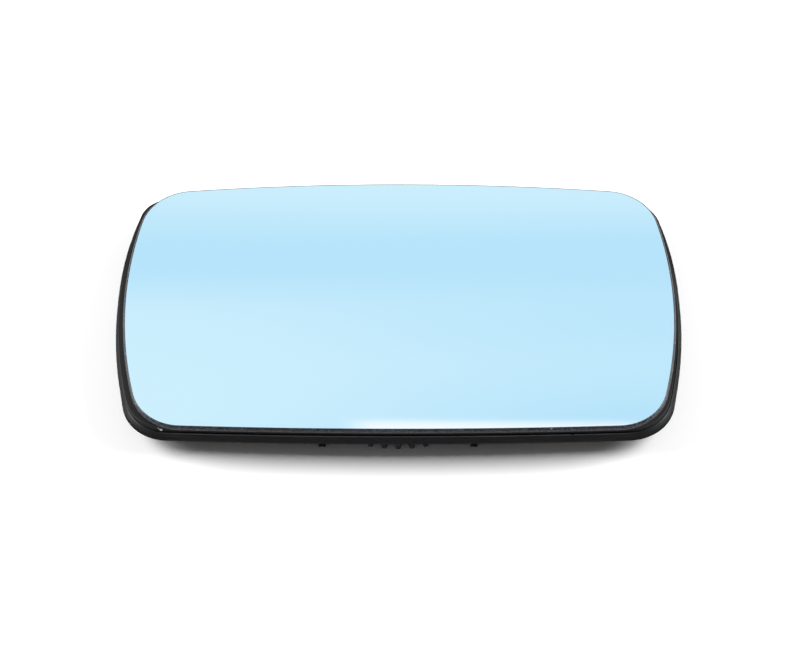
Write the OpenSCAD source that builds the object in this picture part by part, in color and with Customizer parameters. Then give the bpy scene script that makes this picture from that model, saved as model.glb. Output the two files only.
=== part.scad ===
// Heated, convex door mirror glass on its moulded backing plate, with the toothed
// bayonet ring that locks it to the adjuster in the mirror housing.
// The glass lies face up. The ring and the plate's feet point down, and the feet stand on z = 0.
//
// The glass is a cap cut from a large sphere, and all that lies under it follows that sphere.
// Each outline is four long arcs, joined at the corners by small arcs that touch their neighbours.

/* [Glass] */
// Width of the face, from side to side
glass_w = 165; // [120:1:200]
// Height of the face, from top to bottom
glass_h = 93; // [80:1:130]
// Radius of the left and right sides, seen from the front
glass_side_r = 144; // [100:1:400]
// Radius of the top and bottom sides, seen from the front
glass_long_r = 1103; // [600:1:2500]
// Radius of the corners
glass_corner_r = 15.4; // [8:0.1:22]
// Radius of the sphere that the reflecting face is cut from
curve_r = 2000; // [1200:50:4000]
// Thickness of the glass
glass_t = 2; // [1.6:0.1:3]
// How far the ground edge stands out past the face
edge_out = 0.7; // [0.2:0.1:1]
// How far the glass sits to the right of the plate's middle
glass_shift = 0.4; // [0:0.1:0.4]

/* [Heater] */
// Thickness of the adhesive sheet under the glass
glue_t = 0.3; // [0.2:0.1:0.6]
// Thickness of the heating foil
foil_t = 0.5; // [0.3:0.1:0.8]
// How far foil and adhesive stay in from the edge of the face
foil_inset = 2.5; // [1:0.5:6]
// Distance of the terminals in from the right side of the face
terminal_in = 22.5; // [16.5:0.5:28.5]
// Distance between the two terminals
terminal_pitch = 22; // [16:1:30]
// Width of a terminal blade
blade_w = 6.3; // [4.8:0.1:6.3]
// Thickness of a terminal blade
blade_t = 0.8; // [0.5:0.1:1]
// Length of a blade below its foot
blade_l = 8; // [6:0.5:9]
// Radius of the hole in a blade
blade_hole_r = 0.8; // [0.5:0.1:1]
// Length of a terminal's foot
terminal_foot_l = 7; // [6:0.5:8]
// Radius of a rivet's shank
rivet_r = 1; // [0.8:0.1:1.2]
// Radius of a rivet's heads
rivet_head_r = 1.8; // [1.5:0.1:2]
// Thickness of a rivet's heads
rivet_head_t = 0.2; // [0.1:0.05:0.3]

/* [Backing plate] */
// How far the plate reaches past the face at its left and right sides
side_margin = 3.2; // [2.5:0.05:5]
// How far the plate reaches past the face at its top and bottom sides
long_margin = 0.05; // [0:0.05:3]
// Radius of the plate's left and right sides, seen from the front
plate_side_r = 150; // [120:1:400]
// Radius of the plate's top and bottom sides, seen from the front
plate_long_r = 1136; // [900:1:3000]
// Radius of the plate's corners
plate_corner_r = 14.2; // [10:0.1:22]
// Thickness of the plate's web
web_t = 2; // [1.5:0.1:3]
// Width of the flange that stands out below the glass, all the way round
lip_w = 1.5; // [1:0.1:2]
// How far the flange lies below the web's upper face
lip_drop = 2.4; // [1:0.1:3]
// Thickness of the flange, down to the plate's lower edge
lip_t = 1.9; // [1:0.1:3]
// Thickness of the skirt wall inside the flange
skirt_t = 1.6; // [1.2:0.1:2.4]
// Height of the glass above the surface that the feet stand on
stand_h = 14.4; // [13.6:0.1:18]
// Thickness of the stiffening ribs
rib_t = 1.2; // [0.8:0.1:1.6]
// Depth of the stiffening ribs
rib_d = 2.2; // [1:0.1:3]
// Least sideways distance of each foot from the middle
foot_side = 22.5; // [21:0.1:30]
// Distance of each foot's outer face in from the top or bottom side of the plate
foot_in = 2.9; // [2:0.1:4]
// Width of a foot
foot_w = 2; // [1.5:0.1:6]
// Thickness of a foot
foot_t = 1.8; // [1.2:0.1:2.4]
// Depth of the gusset behind a foot
gusset_d = 2.4; // [1:0.1:2.6]
// Height of the seat that the ring turns under
ring_seat_h = 0.7; // [0.6:0.1:1]

/* [Locking ring] */
// How far the ring's centre lies below the plate's middle
ring_drop = 4.2; // [3:0.1:5]
// Radius over the ring's teeth
ring_tip_r = 40; // [39:0.1:40.5]
// Height of the teeth, from root to tip
tooth_h = 1.8; // [1:0.1:2.2]
// Number of teeth
teeth = 60; // [40:1:72]
// Thickness of the toothed flange
tooth_t = 3; // [2:0.1:3.6]
// Inner radius of the ring's wall
ring_bore_r = 31; // [30:0.1:31.4]
// Thickness of the ring's wall
ring_wall = 2.4; // [2:0.1:2.6]
// Width of the flange that the plate's hooks hold
collar_w = 2.2; // [1.8:0.1:2.4]
// Thickness of the flange that the plate's hooks hold
collar_t = 1.2; // [0.8:0.1:1.4]
// Inner radius of the bayonet tongues
tongue_r = 28.5; // [27:0.1:29]
// Thickness of the bayonet tongues
tongue_t = 2; // [1.5:0.1:2.4]
// Height of the lead-in along a tongue's lower edge
tongue_lead = 0.5; // [0.2:0.1:0.8]
// Number of bayonet tongues
tongues = 4; // [3:1:4]
// Number of gussets between the toothed flange and the ring's wall
ring_gussets = 12; // [4:1:18]
// Height of these gussets above the toothed flange
ring_gusset_h = 1.8; // [1:0.1:2]
// Angle of the gap between two tongues
tongue_gap = 20; // [14:1:20]
// Angle through which the ring turns
ring_turn = 20; // [10:1:24]
// Height of the ring above the surface that the feet stand on
ring_lift = 0.4; // [0.3:0.1:1]
// Running clearance round the ring
clearance = 0.3; // [0.2:0.05:0.4]

/* [Hooks] */
// Number of snap hooks that hold the ring
hooks = 4; // [3:1:4]
// Angle that a hook spans round the ring
hook_angle = 16; // [10:1:20]
// Thickness of a hook's leg
hook_t = 1.8; // [1.2:0.1:2]
// Thickness of a hook's barb
barb_t = 1.2; // [0.8:0.1:1.4]
// Width of the peg that stops the ring
peg_w = 3; // [2:0.1:4]

/* [Hidden] */
$fn = 96;
ball_fn = 240;

// Straight steps that each quarter of an outline is drawn in, along its side, corner and long side
side_steps = 7;
corner_steps = 10;
long_steps = 6;

// The plate follows the size of the face, and the terminals follow its right side
plate_w = glass_w + 2 * side_margin;
plate_h = glass_h + 2 * long_margin;
terminal_x = glass_w / 2 - terminal_in;

// Depths below the middle of the reflecting face, one layer after another
foil_depth = glass_t + glue_t;
web_depth = foil_depth + foil_t;
web_under = web_depth + web_t;
lip_depth = web_depth + lip_drop;
skirt_depth = lip_depth + lip_t;
overlap = 1;
slack = 0.05;
film = 0.02;

// Heights above the surface that the feet stand on
web_z = stand_h - web_under;
root_z = web_z + web_t / 4;
seat_z = web_z - ring_seat_h;
ring_top = seat_z - clearance;
collar_z = ring_top - collar_t;
barb_top = collar_z - clearance;
barb_z = barb_top - barb_t;
barb_edge = barb_t / 3;

// Radii round the ring's centre
wall_r = ring_bore_r + ring_wall;
collar_r = wall_r + collar_w;
hook_r = collar_r + clearance;
barb_r = wall_r + 2 * clearance;
tooth_root_r = ring_tip_r - tooth_h;
rib_start_r = ring_tip_r + 2;

// The feet stand just inside the long sides, and move apart on a plate too low for them to clear the ring
foot_clear_r = ring_tip_r + foot_w / 2 + foot_t;
foot_y = plate_h / 2 - foot_in - foot_t / 2;
foot_rise = foot_y - ring_drop;
foot_x = max(foot_side, sqrt(max(0, foot_clear_r * foot_clear_r - foot_rise * foot_rise)));

// Angles round the ring's centre
tongue_angle = 360 / tongues - tongue_gap;
peg_at = 90;
peg_angle = peg_w / collar_r * 180 / PI;
gap_angle = clearance / collar_r * 180 / PI;
tooth_step = 360 / teeth;

// Directions of the stiffening ribs in each wing of the plate
rib_angles = [-24, 0, 24];

// An outline: half its width and height, the radii of its sides, and its corner radius
glass_line = [glass_w / 2, glass_h / 2, glass_side_r, glass_long_r, glass_corner_r];
plate_line = [plate_w / 2, plate_h / 2, plate_side_r, plate_long_r, plate_corner_r];

// Centre of the top right corner's arc, which touches the right side and the top side
function corner_centre(line) =
    let (
        side_x = line[0] - line[2],
        long_y = line[1] - line[3],
        side_gap = line[2] - line[4],
        long_gap = line[3] - line[4],
        k = side_x / long_y,
        m = (side_gap * side_gap - long_gap * long_gap - side_x * side_x + long_y * long_y) / (2 * long_y),
        b = k * m - side_x,
        c = side_x * side_x + m * m - side_gap * side_gap,
        x = (sqrt(b * b - (1 + k * k) * c) - b) / (1 + k * k)
    )
    [x, m + k * x];

// Points along an arc, from one angle up to just before another
function arc(centre, r, from, to, steps) =
    [for (i = [0:steps - 1])
        let (a = from + (to - from) * i / steps)
        centre + r * [cos(a), sin(a)]];

// An outline's points in the top right quarter, moved outwards by grow
function quarter(line, grow) =
    let (
        centre = corner_centre(line),
        side_end = atan2(centre[1], centre[0] - line[0] + line[2]),
        long_start = atan2(centre[1] - line[1] + line[3], centre[0])
    )
    concat(
        arc([line[0] - line[2], 0], line[2] + grow, 0, side_end, side_steps),
        arc(centre, line[4] + grow, side_end, long_start, corner_steps),
        arc([0, line[1] - line[3]], line[3] + grow, long_start, 90, long_steps)
    );

// An outline's points all the way round, quarter by quarter
function outline(line, grow) =
    let (
        points = quarter(line, grow),
        last = len(points) - 1,
        top = [0, line[1] + grow]
    )
    concat(
        points,
        [top],
        [for (i = [last:-1:0]) [-points[i][0], points[i][1]]],
        [for (i = [1:last]) -points[i]],
        [-top],
        [for (i = [last:-1:1]) [points[i][0], -points[i][1]]]
    );

// Repeats a piece at all four corners
module at_corners() {
    for (mx = [0, 1], my = [0, 1])
        mirror([mx, 0, 0]) mirror([0, my, 0]) children();
}

// Moves a piece's origin to the sphere's centre, far below the middle of the glass
module about_centre() {
    translate([0, 0, stand_h - curve_r]) children();
}

// The whole sphere, down to a depth below the face, turned so that its poles lie off the part
module ball(depth) {
    about_centre() rotate([90, 0, 0]) sphere(r = curve_r - depth, $fn = ball_fn);
}

// A sheet between two depths that follows the sphere, with an outline moved outwards by grow
module sheet(line, grow, from, to) {
    difference() {
        intersection() {
            linear_extrude(stand_h + overlap) polygon(outline(line, grow));
            ball(from);
        }
        ball(to);
    }
}

// Slides a sheet sideways along the sphere, to where the glass sits on the plate
module on_glass() {
    about_centre() rotate([0, asin(glass_shift / curve_r), 0]) translate([0, 0, curve_r - stand_h])
        children();
}

// Stands a piece square to the sphere at a place on it, with its origin at a depth below the face
module square_to_sphere(x, y, depth) {
    about_centre() rotate([-asin(y / curve_r), asin(x / curve_r), 0])
        translate([0, 0, curve_r - depth]) children();
}

// Places a piece at both terminals
module at_terminals(depth) {
    for (side = [-1, 1])
        square_to_sphere(terminal_x, side * terminal_pitch / 2, depth) children();
}

// A round hole that runs through the foil and the adhesive, at each terminal's rivet
module rivet_holes(r) {
    at_terminals(web_depth + overlap) cylinder(h = web_depth + 2 * overlap, r = r);
}

// The convex glass, with its reflecting coat
module mirror_glass() {
    color("LightSkyBlue") on_glass() sheet(glass_line, edge_out, 0, glass_t);
}

// The double-sided adhesive sheet between glass and foil, cut out round the rivet heads
module glass_adhesive() {
    color("Gainsboro") difference() {
        on_glass() sheet(glass_line, -foil_inset, glass_t + film, foil_depth);
        rivet_holes(rivet_head_r + clearance);
    }
}

// The heating foil, bonded to the plate
module heater_foil() {
    color("DarkOrange") difference() {
        on_glass() sheet(glass_line, -foil_inset, foil_depth + film, web_depth - film);
        rivet_holes(rivet_r + slack);
    }
}

// A blade terminal: a foot under the foil, and a blade that stands out of the plate's back
module terminal() {
    color("Gold") translate([0, 0, -slack - blade_t]) difference() {
        union() {
            translate([-terminal_foot_l / 2, -blade_w / 2, 0]) cube([terminal_foot_l, blade_w, blade_t]);
            translate([terminal_foot_l / 2 - blade_t, 0, blade_t]) rotate([0, 90, 0])
                linear_extrude(blade_t) difference() {
                    polygon([
                        [0, -blade_w / 2],
                        [blade_l - blade_t, -blade_w / 2],
                        [blade_l, -blade_w / 2 + blade_t],
                        [blade_l, blade_w / 2 - blade_t],
                        [blade_l - blade_t, blade_w / 2],
                        [0, blade_w / 2]
                    ]);
                    translate([blade_l - blade_w / 2, 0]) circle(blade_hole_r);
                }
        }
        translate([0, 0, -overlap]) cylinder(h = blade_t + 2 * overlap, r = rivet_r + slack);
    }
}

module terminal_upper() {
    square_to_sphere(terminal_x, terminal_pitch / 2, web_depth) terminal();
}

module terminal_lower() {
    square_to_sphere(terminal_x, -terminal_pitch / 2, web_depth) terminal();
}

// The rivets that clamp each terminal's foot to the foil
module terminal_rivets() {
    grip = foil_t + 2 * slack + blade_t;
    color("Silver") at_terminals(foil_depth - slack + grip + slack) {
        translate([0, 0, -rivet_head_t]) cylinder(h = grip + slack + 2 * rivet_head_t, r = rivet_r);
        translate([0, 0, -rivet_head_t]) cylinder(h = rivet_head_t, r = rivet_head_r);
        translate([0, 0, grip + slack]) cylinder(h = rivet_head_t, r = rivet_head_r);
    }
}

// The plate's curved web, raised under the glass, with the skirt and the flange round it
module web_and_lip() {
    difference() {
        union() {
            sheet(plate_line, -lip_w, web_depth, skirt_depth);
            sheet(plate_line, 0, lip_depth, skirt_depth);
        }
        sheet(plate_line, -lip_w - skirt_t, web_under, skirt_depth + overlap);
    }
}

// The ribs that stiffen the plate's two wings, from beside the ring out to the skirt
module wing_ribs() {
    intersection() {
        sheet(plate_line, -lip_w - skirt_t / 2, web_under - web_t / 2, web_under + rib_d);
        for (side = [0, 180], angle = rib_angles)
            rotate([0, 0, side + angle]) translate([rib_start_r, -rib_t / 2, 0])
                cube([plate_w, rib_t, stand_h]);
    }
}

// A foot, with a gusset on the side that faces the ring
module foot() {
    translate([-foot_w / 2, -foot_t / 2, 0]) cube([foot_w, foot_t, root_z]);
    translate([rib_t / 2, 0, 0]) rotate([90, 0, -90]) linear_extrude(rib_t) polygon([
        [0, foot_t],
        [0, root_z],
        [gusset_d + foot_t / 2, root_z],
        [gusset_d + foot_t / 2, web_z - rib_d]
    ]);
}

// A snap hook: a leg outside the ring's collar, and a barb that reaches under it
module hook() {
    rotate([0, 0, -hook_angle / 2]) rotate_extrude(angle = hook_angle) polygon([
        [hook_r, barb_z],
        [hook_r + hook_t, barb_z],
        [hook_r + hook_t, root_z],
        [hook_r, root_z],
        [hook_r, barb_top],
        [barb_r, barb_top],
        [barb_r, barb_top - barb_edge]
    ]);
}

// The opening above a hook's barb, where the mould's core reaches it
module hook_window() {
    rotate([0, 0, -hook_angle / 2]) rotate_extrude(angle = hook_angle)
        translate([barb_r, barb_top]) square([hook_r - barb_r, stand_h]);
}

module at_hooks() {
    for (i = [0:hooks - 1])
        rotate([0, 0, (i + 0.5) * 360 / hooks]) children();
}

// The flat seat that the ring's top face runs under, with the peg that stops the ring
module ring_seat() {
    rotate_extrude() translate([ring_bore_r, seat_z]) square([collar_r - ring_bore_r, root_z - seat_z]);
    rotate([0, 0, peg_at]) rotate_extrude(angle = peg_angle)
        translate([wall_r + clearance, collar_z]) square([collar_r - wall_r - clearance, root_z - collar_z]);
}

// The moulded plate that carries the glass
module backing_plate() {
    color("DimGray") difference() {
        union() {
            web_and_lip();
            wing_ribs();
            at_corners() translate([foot_x, foot_y, 0]) foot();
            translate([0, -ring_drop, 0]) {
                ring_seat();
                at_hooks() hook();
            }
        }
        translate([0, -ring_drop, 0]) at_hooks() hook_window();
        at_terminals(web_under + overlap)
            translate([-terminal_foot_l / 2 - clearance, -blade_w / 2 - clearance, 0])
                cube([terminal_foot_l + 2 * clearance, blade_w + 2 * clearance, web_t + 2 * overlap]);
    }
}

// Outline of the ring's teeth, each with a flat tip and sloping flanks
module tooth_outline() {
    polygon([
        for (i = [0:teeth - 1], p = [[-0.28, 0], [-0.14, 1], [0.14, 1], [0.28, 0]])
            (tooth_root_r + p[1] * tooth_h) * [cos((i + p[0]) * tooth_step), sin((i + p[0]) * tooth_step)]
    ]);
}

// The ring's wall, with the collar that the hooks hold and the gap in it for the peg
module ring_wall_and_collar() {
    rotate_extrude() translate([ring_bore_r, ring_lift]) square([ring_wall, ring_top - ring_lift]);
    rotate([0, 0, peg_at + peg_angle + gap_angle])
        rotate_extrude(angle = 360 - peg_angle - ring_turn - 2 * gap_angle)
            translate([wall_r - ring_wall / 2, collar_z]) square([collar_w + ring_wall / 2, collar_t]);
}

// A bayonet tongue, with a lead-in along its lower edge
module tongue() {
    rotate([0, 0, -tongue_angle / 2]) rotate_extrude(angle = tongue_angle) polygon([
        [ring_bore_r + ring_wall / 2, ring_lift],
        [tongue_r + tongue_lead, ring_lift],
        [tongue_r, ring_lift + tongue_lead],
        [tongue_r, ring_lift + tongue_t],
        [ring_bore_r + ring_wall / 2, ring_lift + tongue_t]
    ]);
}

// A gusset on the toothed flange, which props the ring's wall below the hooks' barbs
module ring_gusset() {
    translate([0, rib_t / 2, 0]) rotate([90, 0, 0]) linear_extrude(rib_t) polygon([
        [wall_r - ring_wall / 2, ring_lift + tooth_t / 2],
        [wall_r + ring_gusset_h, ring_lift + tooth_t / 2],
        [wall_r + ring_gusset_h, ring_lift + tooth_t],
        [wall_r, ring_lift + tooth_t + ring_gusset_h],
        [wall_r - ring_wall / 2, ring_lift + tooth_t + ring_gusset_h]
    ]);
}

// The toothed ring that locks the glass to the adjuster
module locking_ring() {
    color("SlateGray") translate([0, -ring_drop, 0]) {
        ring_wall_and_collar();
        translate([0, 0, ring_lift]) linear_extrude(tooth_t) difference() {
            tooth_outline();
            circle(wall_r - ring_wall / 2);
        }
        for (i = [0:tongues - 1])
            rotate([0, 0, i * 360 / tongues]) tongue();
        for (i = [0:ring_gussets - 1])
            rotate([0, 0, i * 360 / ring_gussets]) ring_gusset();
    }
}

mirror_glass();
glass_adhesive();
heater_foil();
terminal_upper();
terminal_lower();
terminal_rivets();
backing_plate();
locking_ring();
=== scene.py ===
import math

import bmesh
import bpy
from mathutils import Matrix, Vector


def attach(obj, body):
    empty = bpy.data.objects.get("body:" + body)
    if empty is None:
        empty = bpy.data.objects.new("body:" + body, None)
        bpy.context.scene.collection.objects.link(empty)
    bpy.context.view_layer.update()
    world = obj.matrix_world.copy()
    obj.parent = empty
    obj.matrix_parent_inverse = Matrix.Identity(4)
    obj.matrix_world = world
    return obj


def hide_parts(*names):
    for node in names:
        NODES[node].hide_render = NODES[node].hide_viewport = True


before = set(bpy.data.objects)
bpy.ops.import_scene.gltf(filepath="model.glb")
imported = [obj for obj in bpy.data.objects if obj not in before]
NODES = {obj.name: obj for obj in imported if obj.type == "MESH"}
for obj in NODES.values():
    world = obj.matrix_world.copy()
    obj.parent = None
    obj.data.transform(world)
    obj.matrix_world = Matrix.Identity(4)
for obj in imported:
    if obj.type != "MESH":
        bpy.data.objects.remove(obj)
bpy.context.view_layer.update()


# The camera: a long lens in front of the near long side, looking down on the glass.
# Its place was solved from the outline of the glass and the plate.
SCENE = bpy.context.scene
MM = 0.001
LOOKS_DOWN = 52.5
camera_data = bpy.data.cameras.new("camera")
camera_data.lens = 153.0
camera_data.sensor_width = 36.0
camera_data.clip_end = 20.0
camera = bpy.data.objects.new("camera", camera_data)
camera.location = (0.55 * MM, -629.6 * MM, 820.2 * MM)
camera.rotation_euler = (math.radians(90.0 - LOOKS_DOWN), 0.0, 0.0)
SCENE.collection.objects.link(camera)
SCENE.camera = camera


# A quarter of an outline is half its width, half its height, and the radii of its short side,
# its long side and its corner, in mm. The flange has four quarters of its own: far right,
# far left, near left and near right.
PLATE_LINE = (85.7, 46.55, 150.0, 1136.0, 14.2)
FLANGE_LINES = (
    (85.65, 47.15, 137.0, 1500.0, 11.8),
    (85.35, 47.15, 134.0, 1500.0, 8.6),
    (85.35, 46.55, 150.0, 1136.0, 14.6),
    (85.65, 46.55, 148.0, 1136.0, 15.2),
)
ARC_POINTS = (24, 26, 20)  # along the short side, the corner and the long side


# The corner's arc touches the short side's and the long side's arc from inside.
def corner_centre(line):
    half_w, half_h, side_r, long_r, corner_r = line
    side_x, long_y = half_w - side_r, half_h - long_r
    side_gap, long_gap = side_r - corner_r, long_r - corner_r
    k = side_x / long_y
    m = (side_gap**2 - long_gap**2 - side_x**2 + long_y**2) / (2 * long_y)
    b = k * m - side_x
    c = side_x**2 + m**2 - side_gap**2
    x = (math.sqrt(b * b - (1 + k * k) * c) - b) / (1 + k * k)
    return x, m + k * x


def arcs_of(line):
    half_w, half_h, side_r, long_r, corner_r = line
    cx, cy = corner_centre(line)
    side_end = math.atan2(cy, cx - half_w + side_r)
    long_start = math.atan2(cy - half_h + long_r, cx)
    return (
        (half_w - side_r, 0.0, side_r, 0.0, side_end),
        (cx, cy, corner_r, side_end, long_start),
        (0.0, half_h - long_r, long_r, long_start, math.pi / 2),
    )


def quarter_line(line, grow):
    points = []
    for (ox, oy, r, start, end), count in zip(arcs_of(line), ARC_POINTS):
        for i in range(count):
            a = start + (end - start) * i / count
            points.append((ox + (r + grow) * math.cos(a), oy + (r + grow) * math.sin(a)))
    return points + [(0.0, line[1] + grow)]


def outline(lines, grow):
    far_right, far_left, near_left, near_right = (quarter_line(line, grow) for line in lines)
    points = far_right
    points += [(-x, y) for x, y in reversed(far_left[:-1])]
    points += [(-x, -y) for x, y in near_left[1:]]
    points += [(x, -y) for x, y in reversed(near_right[1:-1])]
    return points


# How far a point lies past the outline. This holds near the outline only: deep inside, behind
# a corner's centre, it comes out far too large.
def past_outline(line, x, y):
    x, y = abs(x), abs(y)
    for ox, oy, r, start, end in arcs_of(line):
        a = math.atan2(y - oy, x - ox)
        if a <= end:
            break
    return math.hypot(x - ox, y - oy) - r


# The glass's face is part of a sphere, and the flange follows it. A point of the flange's
# profile is how far it lies past the outline and how deep under the face, in mm.
FACE_R, FACE_TOP = 2000.0, 14.38
WALL_IN, CREST_IN, SKIRT_IN = -1.5, -1.2, -3.1
GROOVE_INNER, GROOVE_OUTER = (WALL_IN, 5.7), (-1.22, 5.65)
FLANGE_BOTTOM = 7.1
CREST_SHARE = 0.33  # of the slope
CREST_ROUND, SLOPE_ROUND, EDGE_ROUND, ROUND_STEPS = 0.1, 0.06, 0.1, 5

# The depth of the crest, the lower end of the slope and the flange's edge: at the near side,
# the short sides and the far side. One turns into the next between two places in y.
NEAR_PROFILE = (5.2, (-0.1, 5.97), (0.4, 7.3))
SIDE_PROFILE = (5.2, (-0.3, 6.2), (0.0, FLANGE_BOTTOM))
FAR_PROFILE = (4.5, (-0.08, 4.65), (0.0, FLANGE_BOTTOM))
NEAR_TO_SIDE, SIDE_TO_FAR = (-42.0, -26.0), (-10.0, 25.0)
FINISH_ENDS = (3, 9, 13)  # the profile's steps at which groove, crest and slope end

WELD = 0.004 * MM
PLAIN_FLANGE = -0.3  # the solid's own flange lies past this
# A foot's outer side, how far it is drawn in, and between which x it lies.
FOOT_OUTER, FOOT_RELIEF, FOOT_SIDES = 43.65, 0.55, (21.0, 24.0)
ON_FOOT = 0.05


def on_sphere(x, y, depth):
    r = FACE_R - depth
    return Vector((x * MM, y * MM, (FACE_TOP - FACE_R + math.sqrt(r * r - x * x - y * y)) * MM))


def rounded(points, radii):
    result = []
    count = len(points)
    for i, (corner, radius) in enumerate(zip(points, radii)):
        if radius == 0:
            result.append(corner)
            continue
        here = Vector(corner)
        back = (Vector(points[i - 1]) - here).normalized()
        ahead = (Vector(points[(i + 1) % count]) - here).normalized()
        half = back.angle(ahead) / 2
        reach = radius / math.tan(half)
        centre = here + (back + ahead).normalized() * (radius / math.sin(half))
        first = here + back * reach - centre
        last = here + ahead * reach - centre
        for k in range(ROUND_STEPS + 1):
            step = first.lerp(last, k / ROUND_STEPS).normalized() * radius
            result.append(tuple(centre + step))
    return result


def flange_profile(crest_depth, slope, edge):
    crest = Vector((CREST_IN, crest_depth))
    corners = (
        ((WALL_IN, crest_depth), 0),
        (GROOVE_INNER, 0),
        (GROOVE_OUTER, 0),
        (tuple(crest), CREST_ROUND),
        (tuple(crest.lerp(Vector(slope), CREST_SHARE)), 0),
        (slope, SLOPE_ROUND),
        (edge, EDGE_ROUND),
        ((SKIRT_IN, FLANGE_BOTTOM), 0),
    )
    return rounded(*zip(*corners))


def ease(value, low, high):
    t = min(1.0, max(0.0, (value - low) / (high - low)))
    return t * t * (3.0 - 2.0 * t)


def flange_loop(bm, lines, near, side, far):
    verts = []
    for (x, y), (past_x, past_y) in zip(outline(lines, 0.0), outline(lines, 1.0)):
        point = Vector(near).lerp(Vector(side), ease(y, *NEAR_TO_SIDE))
        grow, depth = point.lerp(Vector(far), ease(y, *SIDE_TO_FAR))
        place = on_sphere(x + (past_x - x) * grow, y + (past_y - y) * grow, depth)
        verts.append(bm.verts.new(place))
    return verts


def bridge(bm, outer, inner, finish):
    count = len(outer)
    for i in range(count):
        j = (i + 1) % count
        face = bm.faces.new((outer[i], outer[j], inner[j], inner[i]))
        face.material_index = finish
        face.smooth = True


def plate_shell():
    bm = bmesh.new()
    bm.from_mesh(NODES["backing_plate"].data)
    bmesh.ops.remove_doubles(bm, verts=bm.verts, dist=WELD)
    past = {vert: past_outline(PLATE_LINE, vert.co.x / MM, vert.co.y / MM) for vert in bm.verts}
    # An open fault: past_outline's wrong values take inner faces away too.
    flange = [face for face in bm.faces if any(past[vert] > PLAIN_FLANGE for vert in face.verts)]
    bmesh.ops.delete(bm, geom=flange, context="FACES")
    for vert in bm.verts:
        x, y = abs(vert.co.x) / MM, abs(vert.co.y) / MM
        if abs(y - FOOT_OUTER) < ON_FOOT and FOOT_SIDES[0] < x < FOOT_SIDES[1]:
            vert.co.y = math.copysign((FOOT_OUTER - FOOT_RELIEF) * MM, vert.co.y)
    for face in bm.faces:
        face.smooth = True
    steps = list(zip(*(flange_profile(*p) for p in (NEAR_PROFILE, SIDE_PROFILE, FAR_PROFILE))))
    # The first and the last loop meet the rest of the plate, so they keep its own outline.
    loops = [flange_loop(bm, (PLATE_LINE,) * 4, *steps[0])]
    loops += [flange_loop(bm, FLANGE_LINES, *step) for step in steps[1:-1]]
    loops += [flange_loop(bm, (PLATE_LINE,) * 4, *steps[-1])]
    for i, (inner, outer) in enumerate(zip(loops, loops[1:])):
        bridge(bm, outer, inner, sum(i >= end for end in FINISH_ENDS))
    return bm


def new_object(bm, name, materials):
    mesh = bpy.data.meshes.new(name)
    bm.normal_update()
    bm.to_mesh(mesh)
    bm.free()
    for material in materials:
        mesh.materials.append(material)
    obj = bpy.data.objects.new(name, mesh)
    SCENE.collection.objects.link(obj)
    return obj


def bevelled(obj, width):
    weld = obj.modifiers.new("weld", "WELD")
    weld.merge_threshold = WELD
    bevel = obj.modifiers.new("bevel", "BEVEL")
    bevel.width = width
    bevel.segments = 3
    bevel.limit_method = "ANGLE"
    bevel.angle_limit = math.radians(30.0)


# The plastic's colour and grain. The scale of a noise is its number of spots in a metre, and
# a span is where a fade starts and ends.
PATCHES, FINE_GRAIN = 120.0, 3200.0
MIDDLE = (0.3, 0.7)  # of a noise
# Where the painted light along the near side fades out: in y, and towards the corners in the
# square of x.
NEAR_SPAN = (-44.6 * MM, -41.0 * MM)  # of y
CORNER_SPAN = ((60.0 * MM) ** 2, (72.0 * MM) ** 2)  # of the square of x


def feed(tree, value, socket):
    if isinstance(value, bpy.types.NodeSocket):
        tree.links.new(value, socket)
    else:
        socket.default_value = value


def object_coords(tree):
    return tree.nodes.new("ShaderNodeTexCoord").outputs["Object"]


def noise(tree, scale, detail=2.0, rough=0.5):
    node = tree.nodes.new("ShaderNodeTexNoise")
    node.inputs["Scale"].default_value = scale
    node.inputs["Detail"].default_value = detail
    node.inputs["Roughness"].default_value = rough
    feed(tree, object_coords(tree), node.inputs["Vector"])
    return node.outputs["Fac"]


def fade(tree, value, span, result=(0.0, 1.0)):
    node = tree.nodes.new("ShaderNodeMapRange")
    node.interpolation_type = "SMOOTHSTEP"
    feed(tree, value, node.inputs["Value"])
    for label, limit in zip(("From Min", "From Max", "To Min", "To Max"), (*span, *result)):
        feed(tree, limit, node.inputs[label])
    return node.outputs["Result"]


def math_node(tree, kind, a, b):
    node = tree.nodes.new("ShaderNodeMath")
    node.operation = kind
    feed(tree, a, node.inputs[0])
    feed(tree, b, node.inputs[1])
    return node.outputs[0]


def mix_colours(tree, factor, a, b):
    node = tree.nodes.new("ShaderNodeMix")
    node.data_type = "RGBA"
    for label, value in (("Factor", factor), ("A", a), ("B", b)):
        feed(tree, value, node.inputs[label])
    return node.outputs["Result"]


def bump(tree, height, distance):
    node = tree.nodes.new("ShaderNodeBump")
    node.inputs["Strength"].default_value = 1.0
    feed(tree, distance, node.inputs["Distance"])
    feed(tree, height, node.inputs["Height"])
    return node.outputs["Normal"]


def node_group(name, inputs, outputs):
    group = bpy.data.node_groups.new(name, "ShaderNodeTree")
    for label, kind, default in inputs:
        kind = "NodeSocket" + kind
        socket = group.interface.new_socket(label, in_out="INPUT", socket_type=kind)
        socket.default_value = default
    for label, kind in outputs:
        kind = "NodeSocket" + kind
        group.interface.new_socket(label, in_out="OUTPUT", socket_type=kind)
    given = group.nodes.new("NodeGroupInput").outputs
    out = group.nodes.new("NodeGroupOutput").inputs
    return group, given, out


def placed(tree, group, **values):
    node = tree.nodes.new("ShaderNodeGroup")
    node.node_tree = group
    for label, value in values.items():
        node.inputs[label.replace("_", " ")].default_value = value
    return node.outputs


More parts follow.
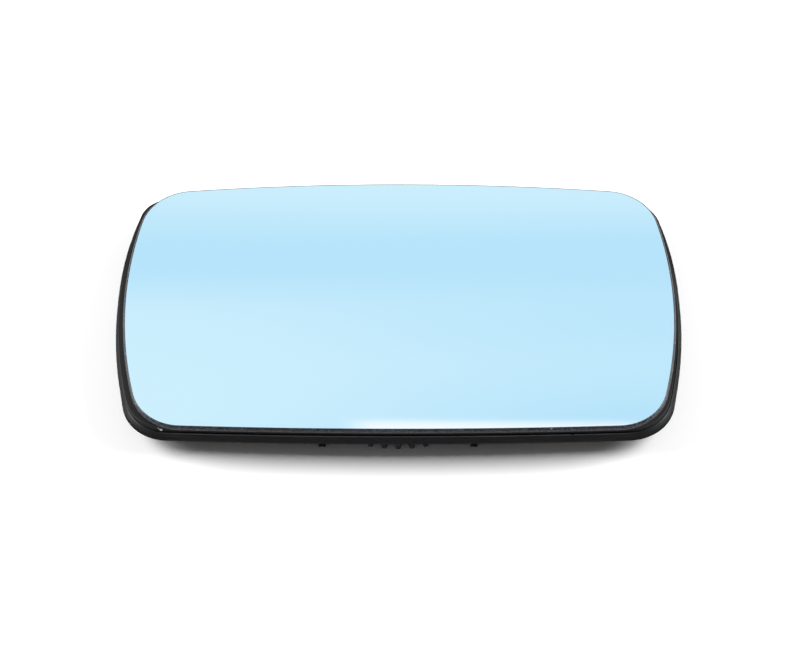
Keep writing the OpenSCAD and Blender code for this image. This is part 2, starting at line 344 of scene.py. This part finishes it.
def mould_grain():
    group, given, out = node_group(
        "mould_grain",
        (("Roughness", "Float", 0.5), ("Grain depth", "Float", 0.004 * MM)),
        (("Roughness", "Float"), ("Normal", "Vector")),
    )
    patches = fade(group, noise(group, PATCHES, 3.0), MIDDLE, (-0.05, 0.06))
    feed(group, math_node(group, "ADD", given["Roughness"], patches), out["Roughness"])
    fine = noise(group, FINE_GRAIN)
    feed(group, bump(group, fine, given["Grain depth"]), out["Normal"])
    return group


# A mask for the painted light along the plate's near side, fading out towards the corners.
def painted_near_light():
    group, _, out = node_group("painted_near_light", (), (("Mask", "Float"),))
    split = group.nodes.new("ShaderNodeSeparateXYZ")
    feed(group, object_coords(group), split.inputs[0])
    near = fade(group, split.outputs["Y"], NEAR_SPAN, (1.0, 0.0))
    square = math_node(group, "MULTIPLY", split.outputs["X"], split.outputs["X"])
    between_corners = fade(group, square, CORNER_SPAN, (1.0, 0.0))
    feed(group, math_node(group, "MULTIPLY", near, between_corners), out["Mask"])
    return group


def small_mark():
    group, given, out = node_group(
        "small_mark",
        (("Place", "Vector", (0.0, 0.0, 0.0)), ("Size", "Float", 0.5 * MM)),
        (("Mask", "Float"),),
    )
    away = group.nodes.new("ShaderNodeVectorMath")
    away.operation = "DISTANCE"
    feed(group, object_coords(group), away.inputs[0])
    feed(group, given["Place"], away.inputs[1])
    core = math_node(group, "MULTIPLY", given["Size"], 0.5)
    mask = fade(group, away.outputs["Value"], (core, given["Size"]), (1.0, 0.0))
    feed(group, mask, out["Mask"])
    return group


MOULD_GRAIN, PAINTED_NEAR_LIGHT, SMALL_MARK = mould_grain(), painted_near_light(), small_mark()


def with_marks(tree, colour, marks):
    for x, y, z, size, level in marks:
        mark = placed(tree, SMALL_MARK, Place=(x * MM, y * MM, z * MM), Size=size * MM)
        colour = mix_colours(tree, mark["Mask"], colour, (level, level, level, 1.0))
    return colour


def new_material(name):
    material = bpy.data.materials.new(name)
    material.use_nodes = True
    tree = material.node_tree
    return material, tree, tree.nodes["Principled BSDF"]


def moulded_plastic(name, base, roughness, grain, sheen, painted_near_colour=None, marks=()):
    material, tree, shader = new_material(name)
    colour = (*base, 1.0)
    # Along the near side the colour turns lighter: painted light.
    if painted_near_colour:
        mask = placed(tree, PAINTED_NEAR_LIGHT)["Mask"]
        colour = mix_colours(tree, mask, colour, (*painted_near_colour, 1.0))
    feed(tree, with_marks(tree, colour, marks), shader.inputs["Base Color"])
    shader.inputs["Specular IOR Level"].default_value = sheen
    surface = placed(tree, MOULD_GRAIN, Roughness=roughness, Grain_depth=grain * MM)
    feed(tree, surface["Roughness"], shader.inputs["Roughness"])
    feed(tree, surface["Normal"], shader.inputs["Normal"])
    return material


# Marks are x, y, z, size in mm, and how light they are.
FLECKS = ((-69.85, -42.9, 8.2, 0.6, 0.5), (-70.6, -42.7, 8.8, 0.45, 0.2))
NICKS = ((51.3, -44.2, 8.05, 0.5, 0.004),)
# The crest, slope and rim are copies of the plate's black plastic with their tones set for how
# light falls on them: darker than the plate's plastic at the sides, painted shade, and lighter
# along the near side, painted light. On the crest the near side's colour is a painted highlight
# line, and the nick is one dark spot in it.
# Name, colour, roughness, depth of the grain in mm, sheen, colour along the near side, marks.
PLATE_FINISHES = (
    ("plate_plastic", (0.0135, 0.0137, 0.0145), 0.5, 0.004, 0.08, None, FLECKS),
    ("plate_crest_painted_highlight", (0.01, 0.01, 0.011), 0.4, 0.002, 0.15, (0.16, 0.162, 0.172), NICKS),
    ("plate_slope_painted_light_and_shade", (0.009, 0.0092, 0.01), 0.5, 0.004, 0.08, (0.042, 0.0425, 0.045)),
    ("plate_rim_painted_shade", (0.0078, 0.008, 0.0088), 0.5, 0.004, 0.05, (0.0145, 0.0147, 0.0155)),
)
plate_finishes = [moulded_plastic(*finish) for finish in PLATE_FINISHES]
plate = new_object(plate_shell(), "plate_shell", plate_finishes)
bevelled(plate, 0.16 * MM)
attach(plate, "mirror")
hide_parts("backing_plate")


# The locking ring: a second black moulding, a little glossier, with teeth round its lower flange.
# It snaps into the plate's hooks and turns under its seat to lock the glass to the adjuster.
def dress(node, material, bevel=0.0):
    materials = NODES[node].data.materials
    materials.clear()
    materials.append(material)
    if bevel:
        bevelled(NODES[node], bevel * MM)


RING_PLASTIC = moulded_plastic("ring_plastic", (0.04, 0.04, 0.042), 0.36, 0.002, 0.25)
dress("locking_ring", RING_PLASTIC, 0.15)


# The heater: a polyester foil bonded to the plate, two stamped brass blades and their plated
# rivets. An adhesive sheet on the foil carries the glass.
HANDLING = 900.0  # spots in a metre


def uneven_gloss():
    group, given, out = node_group(
        "uneven_gloss", (("Roughness", "Float", 0.3),), (("Roughness", "Float"),)
    )
    patches = fade(group, noise(group, HANDLING, 4.0), MIDDLE, (-0.06, 0.1))
    feed(group, math_node(group, "ADD", given["Roughness"], patches), out["Roughness"])
    return group


UNEVEN_GLOSS = uneven_gloss()


def stock_finish(name, base, roughness, metallic):
    material, tree, shader = new_material(name)
    shader.inputs["Base Color"].default_value = (*base, 1.0)
    shader.inputs["Metallic"].default_value = metallic
    gloss = placed(tree, UNEVEN_GLOSS, Roughness=roughness)
    feed(tree, gloss["Roughness"], shader.inputs["Roughness"])
    return material


BRASS = stock_finish("blade_brass", (0.72, 0.5, 0.2), 0.3, 1.0)
RIVET = stock_finish("rivet_steel", (0.66, 0.66, 0.67), 0.28, 1.0)
FOIL = stock_finish("foil_film", (0.55, 0.25, 0.07), 0.35, 0.0)
GLUE = stock_finish("adhesive_film", (0.6, 0.6, 0.56), 0.6, 0.0)
dress("terminal_upper", BRASS, 0.08)
dress("terminal_lower", BRASS, 0.08)
dress("terminal_rivets", RIVET, 0.05)
dress("heater_foil", FOIL)
dress("glass_adhesive", GLUE)


# The mirror glass: float glass bent to a large sphere, coated light blue and cut to shape.
# Its edge is ground round, so it is matt and sparkles between the face and the plate's flange.
GLASS_LINE = (82.5, 46.5, 144.0, 1103.0, 15.4)
GLASS_SHIFT = 0.4  # to the right
GLASS_T = 2.0
EDGE_OUT = 0.69  # how far the round edge stands out past the face
FACE_RINGS, EDGE_STEPS = 24, 14
FACE, FRONT, BACK = 0, 1, 2  # the finishes of the face and of the edge's two halves


def glass_loop(bm, grow, depth, scale=1.0):
    points = outline((GLASS_LINE,) * 4, grow)
    return [bm.verts.new(on_sphere(x * scale + GLASS_SHIFT, y * scale, depth)) for x, y in points]


def glass_pane():
    bm = bmesh.new()
    middle = bm.verts.new(on_sphere(GLASS_SHIFT, 0.0, 0.0))
    rings = [glass_loop(bm, 0.0, 0.0, i / FACE_RINGS) for i in range(1, FACE_RINGS + 1)]
    for i, vert in enumerate(rings[0]):
        bm.faces.new((vert, rings[0][(i + 1) % len(rings[0])], middle)).smooth = True
    for inner, outer in zip(rings, rings[1:]):
        bridge(bm, outer, inner, FACE)
    face_edge = previous = rings[-1]
    for i in range(1, EDGE_STEPS):
        t = math.pi * i / EDGE_STEPS
        current = glass_loop(bm, EDGE_OUT * math.sin(t), GLASS_T / 2 * (1 - math.cos(t)))
        bridge(bm, current, previous, FRONT if i < EDGE_STEPS / 2 else BACK)
        previous = current
    back_edge = glass_loop(bm, 0.0, GLASS_T)
    bridge(bm, back_edge, previous, BACK)
    bm.faces.new(list(reversed(back_edge))).material_index = BACK
    for ring in (face_edge, back_edge):
        for i, vert in enumerate(ring):
            bm.edges.get((vert, ring[(i + 1) % len(ring)])).smooth = False
    return bm


def blue_mirror():
    material, tree, shader = new_material("blue_mirror")
    shader.inputs["Base Color"].default_value = (0.6, 0.86, 0.985, 1.0)
    shader.inputs["Metallic"].default_value = 1.0
    shader.inputs["Roughness"].default_value = 0.02
    shader.inputs["Coat Weight"].default_value = 0.3
    shader.inputs["Coat Roughness"].default_value = 0.02
    return material


GRINDING, GRINDING_DEPTH = 2600.0, 0.05 * MM  # spots in a metre, and how deep they are
SPARKLING = (0.45, 0.68)  # of the noise


def ground_grain():
    group, given, out = node_group(
        "ground_grain",
        (("Dark", "Color", (0.0, 0.0, 0.0, 1.0)), ("Bright", "Color", (0.1, 0.1, 0.1, 1.0))),
        (("Colour", "Color"), ("Normal", "Vector")),
    )
    grains = noise(group, GRINDING, 2.0, 0.7)
    sparkle = fade(group, grains, SPARKLING)
    feed(group, mix_colours(group, sparkle, given["Dark"], given["Bright"]), out["Colour"])
    feed(group, bump(group, grains, GRINDING_DEPTH), out["Normal"])
    return group


GROUND_GRAIN = ground_grain()
CHIPS = (
    (-76.4, -38.4, 11.0, 0.4, 0.35),
    (44.9, -46.0, 13.15, 0.32, 0.25),
    (-62.8, 44.8, 12.9, 0.5, 0.0),
    (-68.6, 44.2, 12.5, 0.5, 0.0),
)


def ground_edge(name, dark, bright):
    material, tree, shader = new_material(name)
    ground = placed(tree, GROUND_GRAIN, Dark=(*dark, 1.0), Bright=(*bright, 1.0))
    feed(tree, with_marks(tree, ground["Colour"], CHIPS), shader.inputs["Base Color"])
    feed(tree, ground["Normal"], shader.inputs["Normal"])
    shader.inputs["Specular IOR Level"].default_value = 0.25
    shader.inputs["Roughness"].default_value = 0.4
    return material


EDGE_FRONT = ground_edge("ground_edge", (0.007, 0.008, 0.011), (0.08, 0.085, 0.11))
# The edge's lower half has its own copy of the ground colour, greyer, with its tone set for the
# shade that half lies in: painted shade.
SHADED_EDGE_BACK = ground_edge("ground_edge_back_painted_shade", (0.009, 0.009, 0.01), (0.075, 0.076, 0.084))
glass = new_object(glass_pane(), "glass_pane", (blue_mirror(), EDGE_FRONT, SHADED_EDGE_BACK))
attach(glass, "mirror")
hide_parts("mirror_glass")


# The setting: a plain white surface, a wide soft lamp on each side and an even white surround.
# The lamps reach further to the far side, so the shadow falls in front of the plate.
FLOOR_REACH = 3.0
floor_mesh = bpy.data.meshes.new("floor")
corners = ((-1, -1), (1, -1), (1, 1), (-1, 1))
floor_corners = [(x * FLOOR_REACH, y * FLOOR_REACH, 0.0) for x, y in corners]
floor_mesh.from_pydata(floor_corners, [], [(0, 1, 2, 3)])
floor = bpy.data.objects.new("floor", floor_mesh)
SCENE.collection.objects.link(floor)
floor_paint, _, floor_shader = new_material("floor_paint")
floor_shader.inputs["Base Color"].default_value = (0.92, 0.92, 0.92, 1.0)
floor_shader.inputs["Roughness"].default_value = 0.9
floor_shader.inputs["Specular IOR Level"].default_value = 0.0
floor_mesh.materials.append(floor_paint)

LAMP_LENGTH, LAMP_Y, LAMP_HEIGHT = 1.12, 0.44, 1.0


def side_lamp(name, near_x, far_x, radiance):
    data = bpy.data.lights.new(name, "AREA")
    data.shape = "RECTANGLE"
    data.size = abs(far_x - near_x)
    data.size_y = LAMP_LENGTH
    data.energy = math.pi * radiance * data.size * data.size_y
    lamp = bpy.data.objects.new(name, data)
    lamp.location = ((near_x + far_x) / 2, LAMP_Y, LAMP_HEIGHT)
    SCENE.collection.objects.link(lamp)


side_lamp("left_lamp", -1.0, -3.2, 19.0)
side_lamp("right_lamp", 1.0, 3.2, 19.5)

# The surround that the glass reflects, by the x and y of the direction. A band's stops are
# place and lightness, from the glass's near side to its far side.
SHOWN_IN_GLASS, LEFT_TO_RIGHT = (0.548, 0.678), (-0.15, 0.15)
LEFT_BAND = (
    (0.0, 0.9),
    (0.1, 1.0),
    (0.35, 0.87),
    (0.5, 0.78),
    (0.6, 0.2),
    (0.68, 0.0),
    (0.78, 0.14),
    (0.88, 0.55),
    (1.0, 1.0),
)
RIGHT_BAND = (
    (0.0, 0.0),
    (0.08, 0.05),
    (0.25, 0.55),
    (0.38, 0.22),
    (0.52, 0.28),
    (0.62, 0.1),
    (0.78, 0.04),
    (0.88, 0.6),
    (1.0, 0.95),
)
BAND_BLUE, BAND_WHITE = (0.76, 0.89, 0.975, 1.0), (1.02, 1.01, 1.005, 1.0)
# The glow along the glass's near edge: its colour, where it starts at the left and at the near
# side, and where it ends, a little aslant.
GLOW, GLOW_SLANT = (1.48, 1.14, 1.05, 1.0), 0.01
GLOW_LEFT, GLOW_NEAR, GLOW_END = (-0.035, -0.01), (0.5, 0.53), (0.549, 0.5543)
WHITE, BEHIND = (1.0, 1.0, 1.0, 1.0), (0.3, 0.3, 0.3, 1.0)
BEHIND_TO_FRONT = (-0.5, 0.25)
ROOM_LIGHT = 0.2  # what the surround adds to the lamps; seen or reflected, it is 1


def band(tree, y, stops):
    place = fade(tree, y, SHOWN_IN_GLASS)
    place.node.interpolation_type = "LINEAR"
    node = tree.nodes.new("ShaderNodeValToRGB")
    node.color_ramp.interpolation = "B_SPLINE"
    elements = node.color_ramp.elements
    while len(elements) < len(stops):
        elements.new(0.5)
    for element, (at, level) in zip(elements, stops):
        element.position = at
        element.color = (level, level, level, 1.0)
    feed(tree, place, node.inputs["Fac"])
    return node.outputs["Color"]


surround = bpy.data.worlds.new("surround")
SCENE.world = surround
surround.use_nodes = True
tree = surround.node_tree
split = tree.nodes.new("ShaderNodeSeparateXYZ")
feed(tree, tree.nodes.new("ShaderNodeTexCoord").outputs["Generated"], split.inputs[0])
x, y = split.outputs["X"], split.outputs["Y"]
left, right = band(tree, y, LEFT_BAND), band(tree, y, RIGHT_BAND)
lightness = mix_colours(tree, fade(tree, x, LEFT_TO_RIGHT), left, right)
room = mix_colours(tree, lightness, BAND_BLUE, BAND_WHITE)
slanted = math_node(tree, "ADD", y, math_node(tree, "MULTIPLY", x, GLOW_SLANT))
glow = fade(tree, slanted, GLOW_END, (1.0, 0.0))
glow = math_node(tree, "MULTIPLY", glow, fade(tree, x, GLOW_LEFT))
glow = math_node(tree, "MULTIPLY", glow, fade(tree, y, GLOW_NEAR))
room = mix_colours(tree, glow, room, GLOW)
room = mix_colours(tree, fade(tree, y, BEHIND_TO_FRONT), BEHIND, room)
path = tree.nodes.new("ShaderNodeLightPath").outputs
seen = math_node(tree, "MAXIMUM", path["Is Camera Ray"], path["Is Glossy Ray"])
seen = math_node(tree, "MAXIMUM", seen, path["Is Transmission Ray"])
strength = math_node(tree, "MULTIPLY", seen, 1.0 - ROOM_LIGHT)
strength = math_node(tree, "ADD", strength, ROOM_LIGHT)
background = tree.nodes["Background"]
feed(tree, mix_colours(tree, path["Is Glossy Ray"], WHITE, room), background.inputs["Color"])
feed(tree, strength, background.inputs["Strength"])
SCENE.view_settings.view_transform = "Standard"
